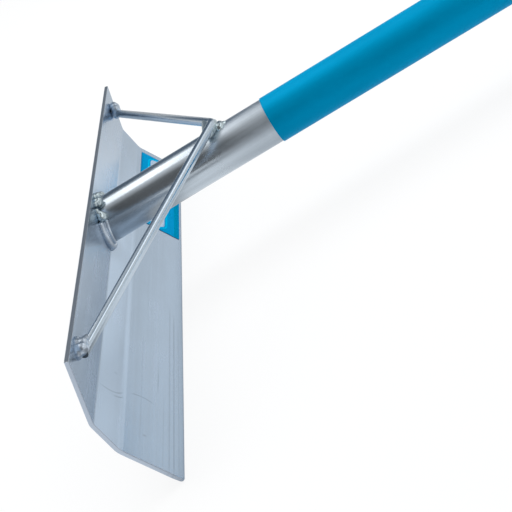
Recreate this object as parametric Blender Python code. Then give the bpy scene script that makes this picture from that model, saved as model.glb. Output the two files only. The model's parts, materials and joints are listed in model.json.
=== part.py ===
"""Concrete rake: a bent aluminium blade, a tube handle welded to its face and a bent rod as a brace.

Metres, +Z up. The tool lies as it does on a floor, on the blade's lower edge and on the rim of the
plug in the handle's far end. Its pieces are built in the tool's own frame, with X along the handle,
Y along the blade and Z towards the blade's top edge. Two empties lay that frame on the ground, with
the origin at the middle of the floor that the tool covers.
"""

import math

import bmesh
import bpy
from mathutils import Matrix, Vector

# Gap between pieces that touch
TOUCH_GAP = 0.0003

# Blade: a plate in three flat strips, whose widths and leans are those of its back
BLADE_LENGTH = 0.4953
PLATE_THICKNESS = 0.00265
TOP_EDGE_RISE = 0.0230
TOP_STRIP = 0.0402
MIDDLE_STRIP = 0.0221
LOWER_STRIP = 0.0408
TOP_LEAN = math.radians(15.1)
MIDDLE_LEAN = math.radians(7.7)
LOWER_LEAN = math.radians(28.3)
BEND_RADIUS = 0.012
BEND_STEPS = 6
EDGE_STEPS = 8

# Handle: a tube, the skin on it and the plug in its far end
TUBE_RADIUS = 0.015875
TUBE_WALL = 0.0021
HANDLE_LENGTH = 1.524
SLEEVE_START = 0.1380
SLEEVE_WALL = 0.0004
PLUG_HEAD = 0.006
PLUG_LIP = 0.0010
PLUG_EDGE_RADIUS = 0.0018
PLUG_EDGE_STEPS = 4
PLUG_SHANK = 0.028
PLUG_RIB_PITCH = 0.008
PLUG_RIB_DEPTH = 0.0009
ROUND_SIDES = 64

# Brace: one round rod bent over the tube, and where the middle lines of its legs meet the top strip
ROD_RADIUS = 0.003175
ROD_ON_TUBE_GAP = 0.0007
APEX_FROM_BLADE = 0.1034
ROD_BEND_RADIUS = 0.010
ROD_BEND_STEPS = 8
LEFT_LEG_FROM_END = 0.0157
RIGHT_LEG_FROM_END = 0.0209
LEFT_LEG_DROP = 0.0107
RIGHT_LEG_DROP = 0.0178
ROD_SIDES = 20

# Welds: radius of each bead, how far it reaches, and the ripples along it
BEAD_SIDES = 14
RIPPLE_PITCH = 0.0030
RIPPLE_STEPS = 4
RIPPLE_DEPTH = 0.04
TIP_SHARE = 0.25
TUBE_BEAD_RADIUS = 0.0036
TUBE_BEAD_OFFSET = 0.0009
UPPER_RUN_START = math.radians(-28)
UPPER_RUN_END = math.radians(165)
RUN_OVERLAP = math.radians(12)
LUMP_ANGLES = (math.radians(112), math.radians(146))
LUMP_WIDTH = math.radians(12)
LUMP_HEIGHT = 0.0014
END_BEAD_RADIUS = 0.0043
END_BEAD_LENGTH = 0.0105
END_BEAD_OUT = 0.0020
END_BEAD_INSET = 0.0040
LEFT_BEAD_RISE = 0.0036
RIGHT_BEAD_RISE = 0.0056
APEX_BEADS_APART = 0.0012
FRONT_BEAD_RADIUS = 0.0050
FRONT_BEAD_LENGTH = 0.0135
FRONT_BEAD_DROP = 0.0031
BACK_BEAD_RADIUS = 0.0042
BACK_BEAD_LENGTH = 0.0120
BACK_BEAD_RISE = 0.0022

# Label: a sticker on the lower strip, on the right half of the blade
LABEL_LENGTH = 0.1515
LABEL_WIDTH = 0.0353
LABEL_THICKNESS = 0.0003
LABEL_FROM_END = 0.0092
LABEL_FROM_BEND = 0.0003
LABEL_CORNER = 0.0015
LABEL_CORNER_STEPS = 4

# Room that a cutting tool takes past the piece it cuts
CUT_MARGIN = 0.030

LEANS = (-TOP_LEAN, MIDDLE_LEAN, LOWER_LEAN)
STRIPS = (TOP_STRIP, MIDDLE_STRIP, LOWER_STRIP)
SLEEVE_BORE = TUBE_RADIUS + TOUCH_GAP
SLEEVE_RADIUS = SLEEVE_BORE + SLEEVE_WALL
PLUG_RADIUS = SLEEVE_RADIUS + PLUG_LIP
PLUG_SHANK_RADIUS = TUBE_RADIUS - TUBE_WALL - TOUCH_GAP
PLUG_FACE = HANDLE_LENGTH + TOUCH_GAP + PLUG_HEAD

# Colour, roughness and metallic value of each finish
FINISHES = {
    "mill_aluminium": ((0.47, 0.52, 0.58), 0.38, 1.0),
    "polished_aluminium": ((0.60, 0.62, 0.65), 0.22, 1.0),
    "weld_aluminium": ((0.55, 0.58, 0.62), 0.30, 1.0),
    "blue_sleeve": ((0.0, 0.235, 0.47), 0.42, 0.0),
    "blue_label": ((0.0, 0.25, 0.60), 0.35, 0.0),
    "black_plastic": ((0.02, 0.02, 0.022), 0.50, 0.0),
}


def clear_scene():
    for obj in list(bpy.data.objects):
        bpy.data.objects.remove(obj, do_unlink=True)


def finish(name):
    """The named finish as a material, made once."""
    found = bpy.data.materials.get(name)
    if found:
        return found
    colour, roughness, metallic = FINISHES[name]
    material = bpy.data.materials.new(name)
    material.use_nodes = True
    shader = material.node_tree.nodes["Principled BSDF"]
    shader.inputs["Base Color"].default_value = (*colour, 1.0)
    shader.inputs["Roughness"].default_value = roughness
    shader.inputs["Metallic"].default_value = metallic
    return material


def add_object(name, bm, finish_name=None):
    """Puts the mesh in the scene, its faces outwards. Without a finish it is a cutter, which isn't rendered."""
    bmesh.ops.recalc_face_normals(bm, faces=bm.faces)
    mesh = bpy.data.meshes.new(name)
    bm.to_mesh(mesh)
    bm.free()
    obj = bpy.data.objects.new(name, mesh)
    bpy.context.collection.objects.link(obj)
    if finish_name:
        mesh.materials.append(finish(finish_name))
        mesh.shade_smooth()
        mesh.set_sharp_from_angle(angle=math.radians(35))
    else:
        obj.hide_render = True
        obj.display_type = "WIRE"
    return obj


def cut(obj, cutter):
    """Takes the cutter's volume away from the piece."""
    modifier = obj.modifiers.new("clear of " + cutter.name, "BOOLEAN")
    modifier.operation = "DIFFERENCE"
    modifier.solver = "EXACT"
    modifier.object = cutter


# Shapes of the plate

def down(lean):
    """Direction down a strip of this lean, in the XZ plane."""
    return Vector((math.sin(lean), -math.cos(lean)))


def front(lean):
    """Direction out of the concave face of a strip of this lean."""
    return Vector((math.cos(lean), math.sin(lean)))


def back_corners():
    """Where the planes of the plate's back meet, from the top edge to the lower edge."""
    corners = [Vector((TOP_EDGE_RISE * math.tan(TOP_LEAN), TOP_EDGE_RISE))]
    for lean, width in zip(LEANS, STRIPS):
        corners.append(corners[-1] + down(lean) * width)
    return corners


def plate_line(depth):
    """The outline at this depth in front of the plate's back, down to where the lower edge turns round."""
    corners = back_corners()
    points = [corners[0] + front(LEANS[0]) * depth]
    arc_depth = PLATE_THICKNESS + BEND_RADIUS
    for corner, before, after in zip(corners[1:3], LEANS[:2], LEANS[1:]):
        both = front(before) + front(after)
        centre = corner + both * (arc_depth / (1 + front(before).dot(front(after))))
        for step in range(BEND_STEPS + 1):
            lean = before + (after - before) * step / BEND_STEPS
            points.append(centre - front(lean) * (arc_depth - depth))
    edge = corners[3] - down(LEANS[2]) * (PLATE_THICKNESS / 2)
    points.append(edge + front(LEANS[2]) * depth)
    return points


def lower_edge_centre():
    edge = back_corners()[3] - down(LOWER_LEAN) * (PLATE_THICKNESS / 2)
    return edge + front(LOWER_LEAN) * (PLATE_THICKNESS / 2)


def lower_edge_arc():
    """The rounded lower edge, from the back to the concave face, without its two ends."""
    centre = lower_edge_centre()
    radius = PLATE_THICKNESS / 2
    turns = [math.pi * step / EDGE_STEPS for step in range(1, EDGE_STEPS)]
    return [
        centre - front(LOWER_LEAN) * radius * math.cos(turn) + down(LOWER_LEAN) * radius * math.sin(turn)
        for turn in turns
    ]


def extruded(outline, start, end):
    """A closed XZ outline as a solid from one Y to another."""
    bm = bmesh.new()
    face = bm.faces.new([bm.verts.new((point.x, start, point.y)) for point in outline])
    grown = bmesh.ops.extrude_face_region(bm, geom=[face])
    moved = [item for item in grown["geom"] if isinstance(item, bmesh.types.BMVert)]
    bmesh.ops.translate(bm, verts=moved, vec=(0, end - start, 0))
    return bm


# Round shapes

def turned(outline, sides=ROUND_SIDES):
    """A solid of revolution about X, from (x, radius) points. An outline that starts at radius 0 ends there too."""
    bm = bmesh.new()
    verts = [bm.verts.new((x, 0, radius)) for x, radius in outline]
    edges = [bm.edges.new(pair) for pair in zip(verts, verts[1:])]
    if outline[0][1] > 0:
        edges.append(bm.edges.new((verts[-1], verts[0])))
    bmesh.ops.spin(bm, geom=verts + edges, cent=(0, 0, 0), axis=(1, 0, 0), angle=math.tau, steps=sides)
    bmesh.ops.remove_doubles(bm, verts=bm.verts, dist=1e-6)
    return bm


def pipe_outline(start, end, outer, inner):
    return [(start, outer), (end, outer), (end, inner), (start, inner)]


def ring(bm, centre, tangent, up, radius, sides):
    """A ring of vertices square to the tangent."""
    side = tangent.cross(up).normalized()
    over = side.cross(tangent).normalized()
    turns = [math.tau * step / sides for step in range(sides)]
    return [bm.verts.new(centre + (side * math.cos(t) + over * math.sin(t)) * radius) for t in turns]


def swept(path, radii, up, sides):
    """A round body along a path, with flat ends, and its rings kept upright by the direction up(point)."""
    bm = bmesh.new()
    rings = []
    for index, (point, radius) in enumerate(zip(path, radii)):
        behind = path[max(index - 1, 0)]
        ahead = path[min(index + 1, len(path) - 1)]
        rings.append(ring(bm, point, (ahead - behind).normalized(), up(point), radius, sides))
    for first, second in zip(rings, rings[1:]):
        for index in range(sides):
            after = (index + 1) % sides
            bm.faces.new((first[index], first[after], second[after], second[index]))
    bm.faces.new(rings[0])
    bm.faces.new(rings[-1])
    return bm


def bead_radii(path, radii):
    """Radii along a weld bead: rippled all along, and drawn in to a blunt tip at both ends."""
    travelled = [0.0]
    for first, second in zip(path, path[1:]):
        travelled.append(travelled[-1] + (second - first).length)
    shaped = []
    for distance, radius in zip(travelled, radii):
        tip = min(1.0, min(distance, travelled[-1] - distance) / radius)
        blunt = TIP_SHARE + (1 - TIP_SHARE) * math.sqrt(1 - (1 - tip) ** 2)
        ripple = 1 + RIPPLE_DEPTH * math.cos(math.tau * distance / RIPPLE_PITCH)
        shaped.append(radius * blunt * ripple)
    return shaped


# Blade and what is cut against it

def make_blade():
    outline = plate_line(0) + lower_edge_arc() + list(reversed(plate_line(PLATE_THICKNESS)))
    return add_object("blade", extruded(outline, -BLADE_LENGTH / 2, BLADE_LENGTH / 2), "mill_aluminium")


def make_plate_cutter():
    """All that lies behind the plate's concave face, and the gap in front of it."""
    face = plate_line(PLATE_THICKNESS + TOUCH_GAP)
    top = face[0] - down(LEANS[0]) * CUT_MARGIN
    bottom = face[-1] + down(LEANS[2]) * CUT_MARGIN
    behind = min(point.x for point in face) - CUT_MARGIN
    outline = [top, *face, bottom, Vector((behind, bottom.y)), Vector((behind, top.y))]
    reach = BLADE_LENGTH / 2 + CUT_MARGIN
    return add_object("plate_cutter", extruded(outline, -reach, reach))


def make_label():
    """The sticker: a thin plate with round corners on the lower strip."""
    bend = plate_line(PLATE_THICKNESS)[2 * (BEND_STEPS + 1)]
    along = down(LOWER_LEAN)
    out = front(LOWER_LEAN)
    end = BLADE_LENGTH / 2 - LABEL_FROM_END
    centres = [
        (end - LABEL_LENGTH + LABEL_CORNER, LABEL_CORNER),
        (end - LABEL_CORNER, LABEL_CORNER),
        (end - LABEL_CORNER, LABEL_WIDTH - LABEL_CORNER),
        (end - LABEL_LENGTH + LABEL_CORNER, LABEL_WIDTH - LABEL_CORNER),
    ]
    bm = bmesh.new()
    verts = []
    for corner, (y, across) in enumerate(centres):
        for step in range(LABEL_CORNER_STEPS + 1):
            turn = math.radians(180 + 90 * corner + 90 * step / LABEL_CORNER_STEPS)
            down_strip = across + LABEL_CORNER * math.sin(turn) + LABEL_FROM_BEND
            flat = bend + along * down_strip + out * TOUCH_GAP
            verts.append(bm.verts.new((flat.x, y + LABEL_CORNER * math.cos(turn), flat.y)))
    sheet = bmesh.ops.extrude_face_region(bm, geom=[bm.faces.new(verts)])
    lifted = [item for item in sheet["geom"] if isinstance(item, bmesh.types.BMVert)]
    bmesh.ops.translate(bm, verts=lifted, vec=Vector((out.x, 0, out.y)) * LABEL_THICKNESS)
    return add_object("blade_label", bm, "blue_label")


# Handle

def make_tube(plate_cutter):
    """The tube, whose foot is cut to the plate's face."""
    outline = pipe_outline(-CUT_MARGIN / 2, HANDLE_LENGTH, TUBE_RADIUS, TUBE_RADIUS - TUBE_WALL)
    tube = add_object("handle_tube", turned(outline), "polished_aluminium")
    cut(tube, plate_cutter)
    return tube


def make_sleeve():
    outline = pipe_outline(SLEEVE_START, HANDLE_LENGTH, SLEEVE_RADIUS, SLEEVE_BORE)
    return add_object("handle_sleeve", turned(outline), "blue_sleeve")


def make_plug():
    """The plug: a ribbed shank in the tube and a head with a rounded rim against its end."""
    back = HANDLE_LENGTH + TOUCH_GAP
    shank = [(back - PLUG_SHANK, 0.0)]
    ribs = int(PLUG_SHANK / PLUG_RIB_PITCH)
    for rib in range(ribs):
        start = back - PLUG_SHANK + rib * PLUG_RIB_PITCH
        shank.append((start, PLUG_SHANK_RADIUS - PLUG_RIB_DEPTH))
        shank.append((start + PLUG_RIB_PITCH / 2, PLUG_SHANK_RADIUS))
        shank.append((start + PLUG_RIB_PITCH / 2, PLUG_SHANK_RADIUS - PLUG_RIB_DEPTH))
    shank.append((back, PLUG_SHANK_RADIUS - PLUG_RIB_DEPTH))
    rim = [(back, PLUG_RADIUS)]
    for step in range(PLUG_EDGE_STEPS + 1):
        turn = math.pi / 2 * step / PLUG_EDGE_STEPS
        x = PLUG_FACE - PLUG_EDGE_RADIUS * (1 - math.sin(turn))
        rim.append((x, PLUG_RADIUS - PLUG_EDGE_RADIUS * (1 - math.cos(turn))))
    return add_object("handle_end_plug", turned(shank + rim + [(PLUG_FACE, 0.0)]), "black_plastic")


def make_tube_cutter():
    """The tube's outside and the gap round it, as far as the welds reach."""
    outline = [
        (-CUT_MARGIN, 0.0),
        (-CUT_MARGIN, TUBE_RADIUS + TOUCH_GAP),
        (SLEEVE_START, TUBE_RADIUS + TOUCH_GAP),
        (SLEEVE_START, 0.0),
    ]
    return add_object("tube_cutter", turned(outline))


# Brace

def strip_normal():
    normal = front(LEANS[0])
    return Vector((normal.x, 0, normal.y))


def strip_point(drop, out, y):
    """A point this far down the top strip from its upper edge and this far out of its concave face."""
    flat = plate_line(PLATE_THICKNESS)[0] + down(LEANS[0]) * drop + front(LEANS[0]) * out
    return Vector((flat.x, y, flat.y))


def apex():
    """Where the lines of the rod's two legs meet, above the tube."""
    return Vector((APEX_FROM_BLADE, 0, TUBE_RADIUS + ROD_ON_TUBE_GAP + ROD_RADIUS))


LEGS = {
    "left": (-(BLADE_LENGTH / 2 - LEFT_LEG_FROM_END), LEFT_LEG_DROP),
    "right": (BLADE_LENGTH / 2 - RIGHT_LEG_FROM_END, RIGHT_LEG_DROP),
}


def leg_end(name):
    """Middle of a leg's cut end. The cut is square, and the end's rim just misses the strip."""
    y, drop = LEGS[name]
    foot = strip_point(drop, 0, y)
    along = (foot - apex()).normalized()
    slant = math.asin(-along.dot(strip_normal()))
    return foot - along * ((ROD_RADIUS * math.cos(slant) + TOUCH_GAP) / math.sin(slant))


def brace_path():
    """Middle line of the rod: leg, bend over the tube, leg."""
    left = leg_end("left")
    right = leg_end("right")
    first = (apex() - left).normalized()
    second = (right - apex()).normalized()
    turn = first.angle(second)
    start = apex() - first * ROD_BEND_RADIUS * math.tan(turn / 2)
    inward = (second - first * first.dot(second)).normalized()
    centre = start + inward * ROD_BEND_RADIUS
    bend = []
    for step in range(ROD_BEND_STEPS + 1):
        angle = turn * step / ROD_BEND_STEPS
        bend.append(centre + (first * math.sin(angle) - inward * math.cos(angle)) * ROD_BEND_RADIUS)
    return [left, *bend, right]


def upright(_point):
    return Vector((0, 0, 1))


def make_brace():
    path = brace_path()
    return add_object("brace_rod", swept(path, [ROD_RADIUS] * len(path), upright, ROD_SIDES), "polished_aluminium")


def make_rod_cutter():
    """The rod and the gap round it."""
    path = brace_path()
    path[0] = path[0] + (path[0] - path[1]).normalized() * TOUCH_GAP
    path[-1] = path[-1] + (path[-1] - path[-2]).normalized() * TOUCH_GAP
    radii = [ROD_RADIUS + TOUCH_GAP] * len(path)
    return add_object("rod_cutter", swept(path, radii, upright, ROD_SIDES))


# Welds

def plate_face_x(z):
    """Where the plate's concave face is at this height."""
    face = plate_line(PLATE_THICKNESS)
    for upper, lower in zip(face, face[1:]):
        if lower.y <= z <= upper.y:
            return upper.x + (lower.x - upper.x) * (upper.y - z) / (upper.y - lower.y)
    return face[0].x + (z - face[0].y) * math.tan(TOP_LEAN)


def foot_angles(start, end):
    """Angles about the tube from one to another, in ripple steps. 90 degrees is the tube's top."""
    count = round((end - start) * TUBE_RADIUS * RIPPLE_STEPS / RIPPLE_PITCH)
    return [start + (end - start) * step / count for step in range(count + 1)]


def foot_path(angles):
    """Along the corner between tube and plate."""
    reach = TUBE_RADIUS + TUBE_BEAD_OFFSET
    path = []
    for angle in angles:
        z = reach * math.sin(angle)
        path.append(Vector((plate_face_x(z) + TUBE_BEAD_OFFSET, reach * math.cos(angle), z)))
    return path


def lumpy_radius(angle):
    """The bead is thicker at its two lumps."""
    lumps = (math.exp(-(((angle - lump) / LUMP_WIDTH) ** 2)) for lump in LUMP_ANGLES)
    return TUBE_BEAD_RADIUS + LUMP_HEIGHT * sum(lumps)


def along_handle(_point):
    return Vector((1, 0, 0))


def make_tube_welds(plate_cutter, tube_cutter):
    """Two runs round the tube's foot. The lower one is cut where the upper one laps over it."""
    angles = foot_angles(UPPER_RUN_START, UPPER_RUN_END)
    path = foot_path(angles)
    radii = bead_radii(path, [lumpy_radius(angle) for angle in angles])
    upper = add_object("tube_weld_upper", swept(path, radii, along_handle, BEAD_SIDES), "weld_aluminium")
    wider = [radius + TOUCH_GAP for radius in radii]
    upper_cutter = add_object("upper_run_cutter", swept(path, wider, along_handle, BEAD_SIDES))
    angles = foot_angles(UPPER_RUN_END - RUN_OVERLAP, UPPER_RUN_START + math.tau + RUN_OVERLAP)
    path = foot_path(angles)
    radii = bead_radii(path, [TUBE_BEAD_RADIUS] * len(path))
    lower = add_object("tube_weld_lower", swept(path, radii, along_handle, BEAD_SIDES), "weld_aluminium")
    for weld in (upper, lower):
        cut(weld, plate_cutter)
        cut(weld, tube_cutter)
    cut(lower, upper_cutter)
    return upper, lower


def make_short_weld(name, middle, length, radius, cutters):
    """A short straight bead along the blade, cut to the pieces that it joins."""
    count = round(length * RIPPLE_STEPS / RIPPLE_PITCH)
    path = [middle + Vector((0, length * (step / count - 0.5), 0)) for step in range(count + 1)]
    radii = bead_radii(path, [radius] * len(path))
    weld = add_object(name, swept(path, radii, upright, BEAD_SIDES), "weld_aluminium")
    for cutter in cutters:
        cut(weld, cutter)
    return weld


def make_end_weld(name, rise, cutters):
    """The weld over a rod end, in the corner between its upper side and the top strip."""
    end = leg_end(name)
    top_edge = strip_point(0, 0, 0)
    drop = (end - top_edge).dot(strip_point(1, 0, 0) - top_edge)
    inset = math.copysign(END_BEAD_INSET, end.y)
    middle = strip_point(drop - rise, END_BEAD_OUT, end.y - inset)
    return make_short_weld("brace_weld_" + name, middle, END_BEAD_LENGTH, END_BEAD_RADIUS, cutters)


def make_apex_weld(name, way, length, radius, rise, cutters):
    """The weld on the tube beside the rod's bend, on the handle's side (way 1) or the blade's side (way -1)."""
    rod_middle = max(point.x for point in brace_path())
    beside = rod_middle + way * (radius + APEX_BEADS_APART / 2)
    middle = Vector((beside, 0, TUBE_RADIUS + rise))
    return make_short_weld(name, middle, length, radius, cutters)


# The tool on the ground

def lie_angle():
    """The slope from the blade's lower edge to the plug's rim, when both touch the ground."""
    edge = lower_edge_centre()
    rim_radius = PLUG_RADIUS - PLUG_EDGE_RADIUS
    rim = Vector((PLUG_FACE - PLUG_EDGE_RADIUS, -rim_radius))
    span = rim - edge
    lower_by = PLUG_EDGE_RADIUS - PLATE_THICKNESS / 2
    return math.atan2(span.y, span.x) - math.asin(lower_by / span.length)


def lay_on_ground(pieces):
    """Parents every piece to an empty in the tool's frame, which is turned and moved onto the ground."""
    ground = bpy.data.objects.new("ground_middle", None)
    tool = bpy.data.objects.new("tool_frame", None)
    for empty in (ground, tool):
        bpy.context.collection.objects.link(empty)
    tool.parent = ground
    angle = lie_angle()
    turn = Matrix.Rotation(angle, 3, "Y")
    edge = lower_edge_centre()
    lowest = (turn @ Vector((edge.x, 0, edge.y))).z - PLATE_THICKNESS / 2
    plug = turn @ Vector((PLUG_FACE, 0, PLUG_RADIUS - PLUG_EDGE_RADIUS))
    back = min((turn @ Vector((point.x, 0, point.y))).x for point in plate_line(0))
    tool.rotation_euler = (0, angle, 0)
    tool.location = (-(back + plug.x) / 2, 0, -lowest)
    for piece in pieces:
        piece.parent = tool


def main():
    clear_scene()
    plate_cutter = make_plate_cutter()
    tube_cutter = make_tube_cutter()
    rod_cutter = make_rod_cutter()
    on_plate = (plate_cutter, rod_cutter)
    on_tube = (tube_cutter, rod_cutter)
    pieces = [
        make_blade(),
        make_label(),
        make_tube(plate_cutter),
        make_sleeve(),
        make_plug(),
        make_brace(),
        *make_tube_welds(plate_cutter, tube_cutter),
        make_end_weld("left", LEFT_BEAD_RISE, on_plate),
        make_end_weld("right", RIGHT_BEAD_RISE, on_plate),
        make_apex_weld("apex_weld_front", 1, FRONT_BEAD_LENGTH, FRONT_BEAD_RADIUS, -FRONT_BEAD_DROP, on_tube),
        make_apex_weld("apex_weld_back", -1, BACK_BEAD_LENGTH, BACK_BEAD_RADIUS, BACK_BEAD_RISE, on_tube),
    ]
    cutters = [obj for obj in bpy.data.objects if obj.hide_render]
    lay_on_ground(pieces + cutters)


main()
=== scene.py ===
"""Looks of a concrete rake: a bent aluminium blade, a tube handle with a blue skin, and a rod as a brace.

Lengths are in metres. Each piece is modelled in the tool's own frame, with X along the handle from the
blade, Y along the blade and Z towards its top edge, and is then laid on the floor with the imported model.
"""

import json
import math
import random

import bmesh
import bpy
from mathutils import Matrix, Vector


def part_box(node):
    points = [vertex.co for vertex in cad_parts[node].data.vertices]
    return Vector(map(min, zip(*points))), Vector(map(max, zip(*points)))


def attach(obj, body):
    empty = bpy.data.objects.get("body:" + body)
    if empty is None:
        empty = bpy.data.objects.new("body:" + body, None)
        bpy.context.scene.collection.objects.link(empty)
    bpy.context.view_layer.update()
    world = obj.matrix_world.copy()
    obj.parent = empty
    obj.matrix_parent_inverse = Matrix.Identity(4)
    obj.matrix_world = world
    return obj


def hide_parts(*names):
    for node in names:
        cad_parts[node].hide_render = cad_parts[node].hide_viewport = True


bl_info = {
    "name": "Concrete Rake",
    "version": (1, 0, 0),
    "blender": (4, 5, 0),
    "location": "3D View > Sidebar > Rake",
    "description": "Models the pieces of a welded aluminium concrete rake and the studio round it",
    "category": "Add Mesh",
}

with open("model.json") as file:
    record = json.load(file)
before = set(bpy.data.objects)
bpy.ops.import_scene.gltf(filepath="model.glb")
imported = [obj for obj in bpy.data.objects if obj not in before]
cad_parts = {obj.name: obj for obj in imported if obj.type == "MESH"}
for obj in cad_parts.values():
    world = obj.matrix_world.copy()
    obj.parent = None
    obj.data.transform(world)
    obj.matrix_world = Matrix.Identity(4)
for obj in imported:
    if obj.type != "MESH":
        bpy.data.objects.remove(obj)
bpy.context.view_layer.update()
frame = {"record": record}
BODY = "root"


def mount(name):
    """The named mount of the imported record, as its place and its axis."""
    found = next(entry for entry in frame["record"]["mounts"] if entry["name"] == name)
    return Vector(found["pos_m"]), Vector(found["axis"]).normalized()


def box_size(node):
    low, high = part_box(node)
    return high - low


def length(name, description, default):
    return bpy.props.FloatProperty(
        name=name,
        description=description,
        default=default,
        min=0.0,
        unit="LENGTH",
        subtype="DISTANCE",
        precision=5,
    )


def angle(name, description, degrees):
    return bpy.props.FloatProperty(
        name=name, description=description, default=math.radians(degrees), unit="ROTATION", subtype="ANGLE"
    )


def colour(name, description, default):
    return bpy.props.FloatVectorProperty(
        name=name, description=description, default=default, size=3, min=0.0, max=1.0, subtype="COLOR"
    )


class RakeSizes(bpy.types.PropertyGroup):
    """Sizes of the pieces"""

    blade_length: length("Blade length", "Along the blade", box_size("blade").y)
    sheet: length("Sheet thickness", "Thickness of the blade", 0.00265)
    top_edge_rise: length("Top edge rise", "Height of the top edge above the handle's middle line", 0.0230)
    top_strip: length("Top strip", "Width of the strip above both bends, on its back", 0.0402)
    middle_strip: length("Middle strip", "Width of the strip between the bends, on its back", 0.0221)
    lower_strip: length("Lower strip", "Width of the strip below both bends, on its back", 0.0408)
    top_lean: angle("Top lean", "How far the top strip leans over the handle", 15.1)
    middle_lean: angle("Middle lean", "How far the middle strip leans out", 7.7)
    lower_lean: angle("Lower lean", "How far the lower strip leans out", 28.3)
    upper_bend: length("Upper bend", "Inner radius of the bend below the top strip", 0.005)
    lower_bend: length("Lower bend", "Inner radius of the bend above the lower strip", 0.012)
    corner_radius: length("Corner radius", "Rounding of the blade's lower corners", 0.0026)
    tube_radius: length("Tube radius", "Outer radius of the handle", box_size("handle_tube").y / 2)
    tube_wall: length("Tube wall", "Wall of the handle", 0.0021)
    handle_length: length("Handle length", "From the blade to the tube's far end", 1.524)
    sleeve_start: length("Sleeve start", "Where the blue skin starts on the tube", 0.1380)
    sleeve_radius: length("Sleeve radius", "Outer radius of the blue skin", box_size("handle_sleeve").y / 2)
    plug_radius: length("Plug radius", "Outer radius of the plug's head", box_size("handle_end_plug").y / 2)
    plug_head: length("Plug head", "Length of the plug's head", 0.006)
    plug_shank: length("Plug shank", "Length of the plug inside the tube", 0.028)
    rod_radius: length("Rod radius", "Radius of the brace", 0.003175)
    apex_from_blade: length("Apex from blade", "Where the brace's legs would meet, along the handle", 0.1034)
    rod_bend_radius: length("Rod bend radius", "Radius of the brace's bend, to its middle line", 0.010)
    left_from_end: length("Left leg from end", "Left foot of the brace from the blade's end", 0.0157)
    right_from_end: length("Right leg from end", "Right foot of the brace from the blade's end", 0.0209)
    left_drop: length("Left leg drop", "Left foot of the brace below the top edge", 0.0107)
    right_drop: length("Right leg drop", "Right foot of the brace below the top edge", 0.0178)
    label_length: length("Label length", "Along the blade", 0.1515)
    label_width: length("Label width", "Across the lower strip", 0.0353)
    label_from_end: length("Label from end", "From the blade's right end", 0.0092)


class RakeColours(bpy.types.PropertyGroup):
    """Colours of the finishes"""

    sheet: colour("Sheet", "Mill finish aluminium sheet", (0.498, 0.608, 0.738))
    tube: colour("Tube", "Drawn aluminium tube", (0.60, 0.66, 0.72))
    rod: colour("Rod", "Drawn aluminium rod", (0.58, 0.66, 0.74))
    weld: colour("Weld", "Weld metal below the foot and at the legs", (0.58, 0.65, 0.735))
    dull_weld: colour("Dull weld", "Weld metal above the foot and at the bend", (0.57, 0.655, 0.685))
    sleeve: colour("Sleeve", "Blue skin of the handle", (0.0, 0.295, 0.545))
    label: colour("Label", "Blue field of the label", (0.004, 0.315, 0.61))
    label_panel: colour("Label panel", "Pale panel of the label", (0.52, 0.58, 0.70))
    plug: colour("Plug", "Moulded plug", (0.018, 0.018, 0.020))


# The tool's own frame

TOUCH_GAP = 0.0003
ROD_ON_TUBE_GAP = 0.0007


def sizes():
    return bpy.context.scene.rake_sizes


def colours():
    return bpy.context.scene.rake_colours


def tool_frame():
    """From the tool's own frame to the floor. The plug's face and the handle's direction give it."""
    face, along = mount("handle_end_face")
    across = Vector((0, 1, 0))
    up = along.cross(across)
    start = face - along * (sizes().handle_length + TOUCH_GAP + sizes().plug_head)
    turned = Matrix((along, across, up)).transposed()
    return Matrix.Translation(start) @ turned.to_4x4()


def down(lean):
    """Direction down a strip of this lean."""
    return Vector((math.sin(lean), 0, -math.cos(lean)))


def front(lean):
    """Direction out of the concave face of a strip of this lean."""
    return Vector((math.cos(lean), 0, math.sin(lean)))


def leans():
    return (-sizes().top_lean, sizes().middle_lean, sizes().lower_lean)


def back_corners():
    """Where the planes of the blade's back meet, from the top edge to the lower edge."""
    rise = sizes().top_edge_rise
    corners = [Vector((rise * math.tan(sizes().top_lean), 0, rise))]
    for lean, width in zip(leans(), (sizes().top_strip, sizes().middle_strip, sizes().lower_strip)):
        corners.append(corners[-1] + down(lean) * width)
    return corners


def face_x(z):
    """Where the blade's concave face is at this height, bends left out."""
    face = (corner + front(lean) * sizes().sheet for corner, lean in zip(back_corners(), leans()))
    return max(point.x + (point.z - z) * math.tan(lean) for point, lean in zip(face, leans()))


def top_point(drop, out, y):
    """A point this far below the top edge, out of the top strip's concave face and along the blade."""
    lean = leans()[0]
    return back_corners()[0] + down(lean) * drop + front(lean) * (sizes().sheet + out) + Vector((0, y, 0))


def apex():
    """Where the middle lines of the brace's legs would meet, above the tube."""
    height = sizes().tube_radius + ROD_ON_TUBE_GAP + sizes().rod_radius
    return Vector((sizes().apex_from_blade, 0, height))


def leg_end(drop, y):
    """Middle of a leg's square end, whose rim just meets the top strip."""
    foot = top_point(drop, 0, y)
    along = (foot - apex()).normalized()
    slant = math.asin(-along.dot(front(leans()[0])))
    return foot - along * (sizes().rod_radius * math.cos(slant) + TOUCH_GAP) / math.sin(slant)


def leg_ends():
    half = sizes().blade_length / 2
    left = leg_end(sizes().left_drop, sizes().left_from_end - half)
    right = leg_end(sizes().right_drop, half - sizes().right_from_end)
    return left, right


# Selecting and editing

def deselect():
    if bpy.context.object and bpy.context.object.mode == "EDIT":
        bpy.ops.object.mode_set(mode="OBJECT")
    bpy.ops.object.select_all(action="DESELECT")


def take(obj):
    """Makes this the one selected object."""
    deselect()
    obj.select_set(True)
    bpy.context.view_layer.objects.active = obj


def apply_place():
    bpy.ops.object.transform_apply(location=True, rotation=True, scale=True)


def edit():
    bpy.ops.object.mode_set(mode="EDIT")


def done():
    bpy.ops.object.mode_set(mode="OBJECT")


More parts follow.
